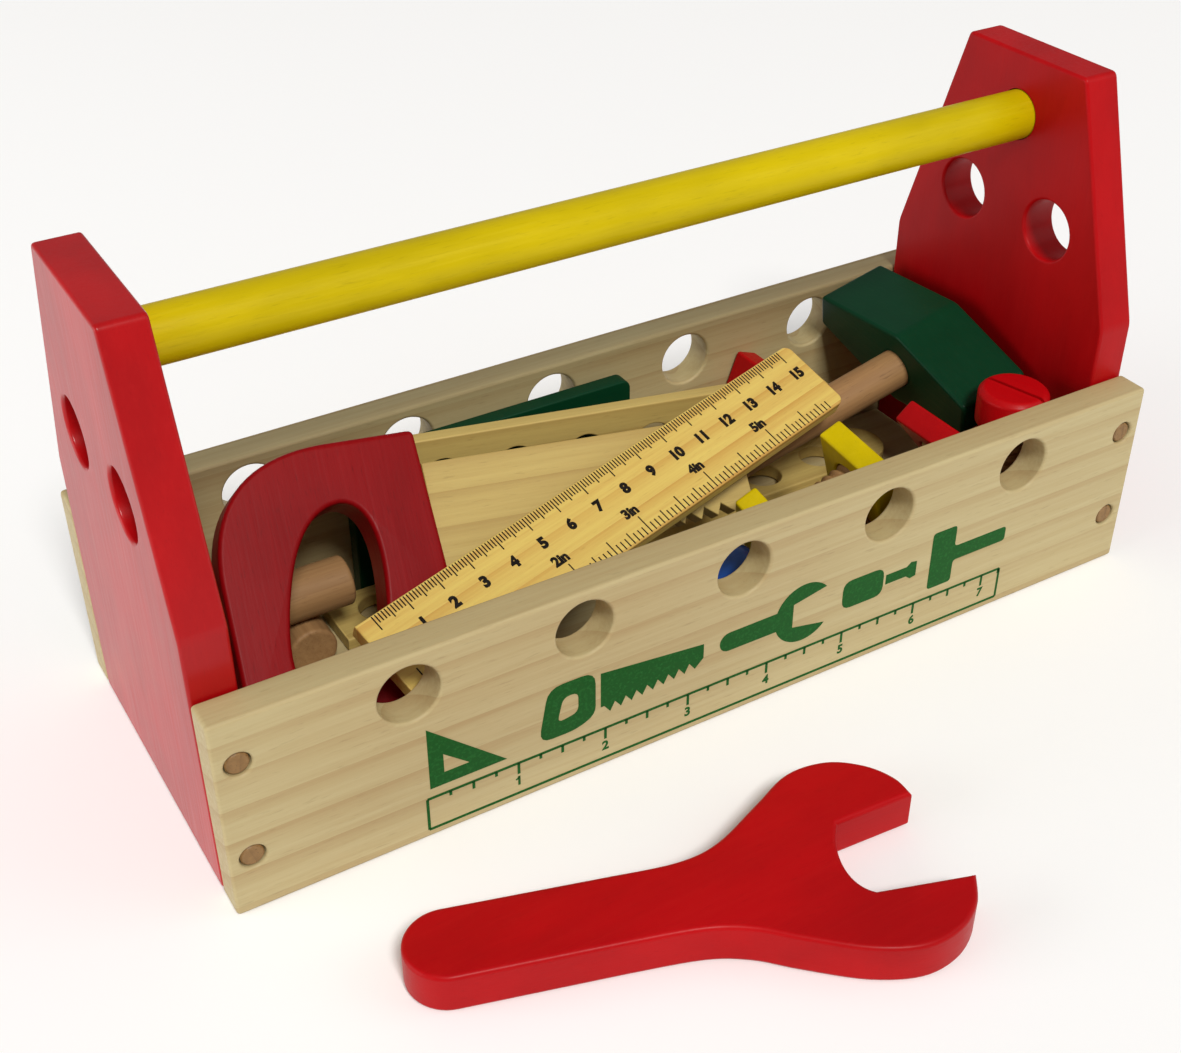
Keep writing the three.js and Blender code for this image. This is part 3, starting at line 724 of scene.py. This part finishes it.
def front_print():
    """The inch scale and a row of tool pictures on the front of the box."""
    face = FRONT_PANEL @ Matrix.Translation((0, 0, SIDE["thick"] * MM))
    green = ink("green_ink", 0x12501A)
    scale = Print("front_scale")
    left, right, bottom, top, width, inch = -90, 93, 2.5, 12.5, 0.8, 25.2
    for y in (bottom, top):
        scale.bar(left, y - width / 2, right, y + width / 2)
    for x in (left, right):
        scale.bar(x - width / 2, bottom, x + width / 2, top)
    quarters = int((right - left) / inch * 4)
    for i in range(1, quarters + 1):
        x = left + i * inch / 4
        length = (3.6, 1.5, 2.4, 1.5)[i % 4]
        scale.bar(x - width / 2, top - length, x + width / 2, top)
        if i % 4 == 0:
            y = top - length - 2.4
            scale.number(str(i // 4), x, y, 2.8, 0.05)
            if i == 4:  # the flag of the 1
                scale.line((x, y + 1.3), (x - 0.9, y + 0.6), 0.5)
    scale.finish(face, green, "green_ink", "side_panel_front")

    tools = Print("front_tool_pictures")
    low, high = 15.5, 34.5
    middle = (low + high) / 2
    # set square
    square = [(-89, low), (-68, low), (-89, high)]
    tools.shape(square, [[(-85, low + 3.8), (-78.2, low + 3.8), (-85, high - 9.4)]])
    # handsaw
    teeth = []
    for i in range(9):
        teeth += [(-40 + i * 3.2, middle - 5 + i * 0.35), (-38.2 + i * 3.2, middle - 7.4 + i * 0.35)]
    tools.shape([(-41, middle + 6), (-41, middle - 5)] + teeth + [(-10, middle - 2), (-10, middle + 2.5)])
    grip = [(-42.5, high - 2), (-42.5, low + 3), (-48, low + 0.5), (-59, low + 0.5), (-56, high - 2)]
    palm = [(-47.5, high - 6.5), (-47.5, low + 6), (-53.6, low + 5), (-51.8, high - 6.5)]
    tools.shape(softened(grip, 4), [softened(palm, 2)])
    # open-ended spanner
    spanner = arc(22, middle, 9.4, 40, 161, 16) + arc(-2, middle, 3, 90, 270, 10)
    spanner += arc(22, middle, 9.4, 199, 320, 16) + [(18.5, middle - 3.8), (18.5, middle + 3.8)]
    tools.shape(spanner)
    # screwdriver
    tools.shape(softened(rectangle(35, middle - 4.6, 49, middle + 4.6), 3))
    tools.shape([(49.8, middle - 1.6), (57, middle - 1.6), (58.5, middle - 2.8), (60.5, middle - 2.4),
                 (60.5, middle + 2.4), (58.5, middle + 2.8), (57, middle + 1.6), (49.8, middle + 1.6)])
    # mallet, lying on its side
    mallet = [(65.5, low), (74, low), (74, middle - 2.4), (93, middle - 2.4), (93, middle + 2.4),
              (74, middle + 2.4), (74, high), (65.5, high)]
    tools.shape(softened(mallet, 1.2))
    tools.finish(face, green, "green_ink", "side_panel_front")


def ruler_pieces():
    length, width, thick, corner = 160, 24, 5, 2.5
    outline = [(0, 0)] + arc(length - corner, corner, corner, -90, 0) \
        + arc(length - corner, width - corner, corner, 0, 90) + [(0, width)]
    board = plank("ruler_board", outline, [], -thick, 0, 0.5)
    wood = bare_wood("ruler_wood", 0xDCC268, 0xB97E35, "X", 2, period=7, rings=0.75, streaks=0.4,
                     centre=(0, 30, -14), roughness=0.4)
    stand_for(board, RULER, wood, "ruler_wood", "ruler")

    marks = Print("ruler_marks")
    zero, stroke = 4.9, 0.36
    for i in range(151):
        x = zero + i
        reach = 4.4 if i % 10 == 0 else 3.4 if i % 5 == 0 else 2.5
        marks.bar(x - stroke / 2, width - 0.4 - reach, x + stroke / 2, width - 0.4)
        if i % 10 == 0:
            marks.number(str(i // 10), x - 0.3, width - 9.3, 3.1, 0.09)
    sixteenth = 25.4 / 16
    for i in range(int(150 / sixteenth) + 1):
        x = zero + i * sixteenth
        reach = 5.8 if i % 16 == 0 else 4.8 if i % 8 == 0 else 3.7 if i % 4 == 0 else 2.7
        marks.bar(x - stroke / 2, 0.4, x + stroke / 2, 0.4 + reach)
        if i % 16 == 0 and i:
            marks.number(f"{i // 16}in", x - 0.8, 8.4, 2.8, 0.08)
    marks.finish(RULER, ink("black_ink", 0x17130F), "black_ink", "ruler")


# ---- Studio ----
def lamp(name, kind, where, aim, power, tint=(1, 1, 1)):
    """A light that stands at one point and shines at another; its settings are handed back."""
    data = bpy.data.lights.new(name, kind)
    data.energy, data.color = power, tint
    o = bpy.data.objects.new(name, data)
    bpy.context.scene.collection.objects.link(o)
    o.location = where
    o.rotation_mode = "QUATERNION"
    o.rotation_quaternion = (Vector(aim) - Vector(where)).to_track_quat("-Z", "Y")
    return data


def studio():
    half, drop = 4, 0.0003  # metres; the floor lies just under the box
    mesh = bpy.data.meshes.new("floor")
    mesh.from_pydata([(x, y, -drop) for x, y in rectangle(-half, -half, half, half)], [], [(0, 1, 2, 3)])
    floor = bpy.data.objects.new("floor", mesh)
    bpy.context.scene.collection.objects.link(floor)
    s = Shader("pale_floor")
    s.surface.inputs["Base Color"].default_value = (0.97, 0.97, 0.97, 1)
    s.surface.inputs["Roughness"].default_value = 0.8
    s.surface.inputs["Specular IOR Level"].default_value = 0.1
    mesh.materials.append(s.material)
    world = bpy.data.worlds.new("studio")
    bpy.context.scene.world = world
    world.use_nodes = True
    background = world.node_tree.nodes["Background"]
    background.inputs["Color"].default_value = (1, 1, 1, 1)
    background.inputs["Strength"].default_value = 0.28
    centre = (0, 0, 0.05)
    key = lamp("key", "SUN", (-0.15, -0.8, 1.05), centre, 2.4, (1, 0.98, 0.95))
    key.angle = radians(14)
    for name, where, size, power in (("left_wall", (-1.3, 0.2, 0.35), (1.0, 0.7), 7),
                                     ("fill", (0.9, -0.7, 0.7), (0.8, 0.8), 2)):
        panel = lamp(name, "AREA", where, centre, power)
        panel.shape, panel.size, panel.size_y = "RECTANGLE", *size
    bpy.context.scene.view_settings.view_transform = "Standard"


def camera():
    azimuth, down, roll = 30.71, 34.98, -0.21
    data = bpy.data.cameras.new("camera")
    data.sensor_width, data.lens, data.clip_start = 36, 50.6835, 0.01
    o = bpy.data.objects.new("camera", data)
    bpy.context.scene.collection.objects.link(o)
    turn = Matrix.Rotation(radians(-azimuth), 4, "Z") @ Matrix.Rotation(radians(90 - down), 4, "X")
    turn = turn @ Matrix.Rotation(radians(roll), 4, "Z")
    o.matrix_world = Matrix.Translation((-0.2049, -0.3252, 0.2973)) @ turn
    bpy.context.scene.camera = o


box_pieces()
saw_pieces()
hammer_pieces()
ruler_pieces()
bolt_pieces()
driver_pieces()
strip_pieces()
peg_pieces()
wrench_piece()
front_print()
studio()
camera()
